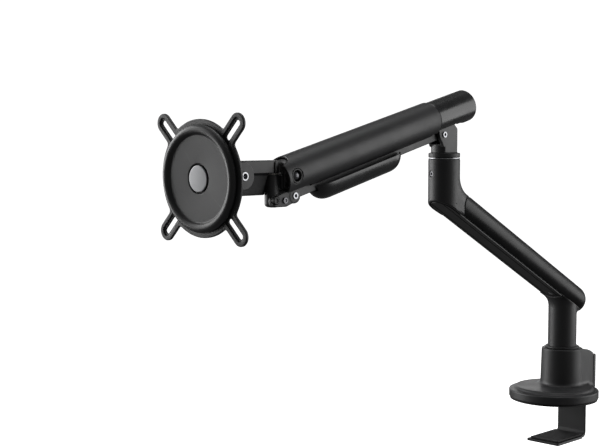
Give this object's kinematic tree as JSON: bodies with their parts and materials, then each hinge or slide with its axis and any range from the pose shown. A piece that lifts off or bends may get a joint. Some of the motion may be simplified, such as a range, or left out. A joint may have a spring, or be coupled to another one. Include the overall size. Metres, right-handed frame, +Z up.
{
  "type": "monitor arm",
  "caption": "Desk-clamped monitor arm with a swivelling bent lower arm, a counterbalanced tubular upper arm and a tilting, turning screen plate.",
  "frame": {"origin": "on the desk top under the post's axis, at the underside of the base pad", "axes": "+Z up, -Y from the post towards the person at the screen, +X to that person's right as they face +Y"},
  "size_m": [0.1182, 0.6463, 0.4301],
  "materials": {
    "satin_black_metal": "satin black powder coat",
    "black_plastic": "fine matt texture",
    "gloss_black_plastic": "semi-gloss",
    "rubber": "matt",
    "steel": "bright",
    "dark_steel": "blackened",
    "bare_aluminium": "satin",
    "nylon": "matt"
  },
  "bodies": {
    "base": {"base_casting": "satin_black_metal", "base_pad": "rubber", "rear_cover": "black_plastic", "collar_bush": "black_plastic", "lower_bush": "nylon", "thrust_washer": "nylon"},
    "clamp_jaw": {"clamp_bracket": "satin_black_metal", "clamp_nut": "steel", "jaw_pad": "rubber"},
    "clamp_screw": {"clamp_screw": "steel"},
    "lower_arm": {"lower_arm_casting": "satin_black_metal", "cable_cover": "black_plastic", "underside_cover": "black_plastic", "underside_screw": "steel", "elbow_set_screw": "steel", "elbow_bush_upper": "nylon", "elbow_bush_lower": "nylon", "elbow_washer": "steel"},
    "yoke": {"yoke_casting": "satin_black_metal", "elbow_retainer": "steel", "elbow_retainer_screw": "steel", "spring_roller": "steel", "link_rear_pin": "steel"},
    "upper_arm": {"upper_tube": "satin_black_metal", "tail_housing": "gloss_black_plastic", "lift_pin": "steel", "cable_trough": "gloss_black_plastic", "tension_block": "dark_steel", "tension_screw": "steel", "gas_spring_cylinder": "dark_steel", "pivot_bush_far": "black_plastic", "pivot_bush_near": "black_plastic", "front_pivot_pin": "steel"},
    "spring_rod": {"gas_spring_rod": "steel", "push_foot": "dark_steel"},
    "parallel_link": {"parallel_link": "satin_black_metal"},
    "knuckle": {"knuckle_casting": "satin_black_metal", "link_front_pin": "steel", "swivel_friction_screw": "steel", "knuckle_plug": "black_plastic", "swivel_washer": "nylon"},
    "head": {"swivel_pin": "steel", "neck_casting": "satin_black_metal"},
    "tilt_head": {"friction_washer_far": "nylon", "friction_washer_near": "nylon", "tilt_bracket": "satin_black_metal", "tilt_bolt": "steel", "rotation_hub": "black_plastic"},
    "screen_plate": {"rotation_spindle": "steel", "ear_plate": "satin_black_metal", "dish": "satin_black_metal", "centre_disc": "bare_aluminium"}
  },
  "joints": [
    {"name": "clamp_close", "type": "slide", "parent": "base", "child": "clamp_jaw", "axis": [0, 0, 1], "range_m": [-0.006, 0.028]},
    {"name": "clamp_screw_turn", "type": "hinge", "parent": "base", "child": "clamp_screw", "pos_m": [0, 0.031, 0.05], "axis": [0, 0, 1], "range_deg": [-1730, 8066]},
    {"name": "base_swivel", "type": "hinge", "parent": "base", "child": "lower_arm", "pos_m": [0, 0, 0.04], "axis": [0, 0, 1], "range_deg": [-180, 180]},
    {"name": "elbow_swivel", "type": "hinge", "parent": "lower_arm", "child": "yoke", "pos_m": [0, -0.2413, 0.3], "axis": [0, 0, 1], "range_deg": [-135, 135]},
    {"name": "arm_lift", "type": "hinge", "parent": "yoke", "child": "upper_arm", "pos_m": [0, -0.2588, 0.3469], "axis": [-1, 0, 0], "range_deg": [-20, 40]},
    {"name": "link_swing", "type": "hinge", "parent": "yoke", "child": "parallel_link", "pos_m": [0, -0.2538, 0.3275], "axis": [-1, 0, 0], "range_deg": [-20.5, 40.5]},
    {"name": "spring_stroke", "type": "slide", "parent": "upper_arm", "child": "spring_rod", "axis": [0, 0.9696, 0.2448], "range_m": [-0.0026, 0.0051]},
    {"name": "head_level", "type": "hinge", "parent": "upper_arm", "child": "knuckle", "pos_m": [0, -0.49024, 0.28847], "axis": [-1, 0, 0], "range_deg": [-40.5, 20.5]},
    {"name": "head_pan", "type": "hinge", "parent": "knuckle", "child": "head", "pos_m": [0, -0.5072, 0.297], "axis": [0, 0, 1], "range_deg": [-50, 50]},
    {"name": "screen_tilt", "type": "hinge", "parent": "head", "child": "tilt_head", "pos_m": [0, -0.5545, 0.2894], "axis": [1, 0, 0], "range_deg": [-45, 45]},
    {"name": "screen_turn", "type": "hinge", "parent": "tilt_head", "child": "screen_plate", "pos_m": [0, -0.59448, 0.28814], "axis": [0, -0.9995, -0.0314], "range_deg": [-90, 90]}
  ],
  "couplings": [
    {"joint": "clamp_screw_turn", "follows": "clamp_close", "rad_per_m": 5026.5},
    {"joint": "link_swing", "follows": "arm_lift", "ratio": 1},
    {"joint": "head_level", "follows": "arm_lift", "ratio": -1},
    {"joint": "spring_stroke", "follows": "arm_lift", "m_per_rad": 0.0071}
  ]
}
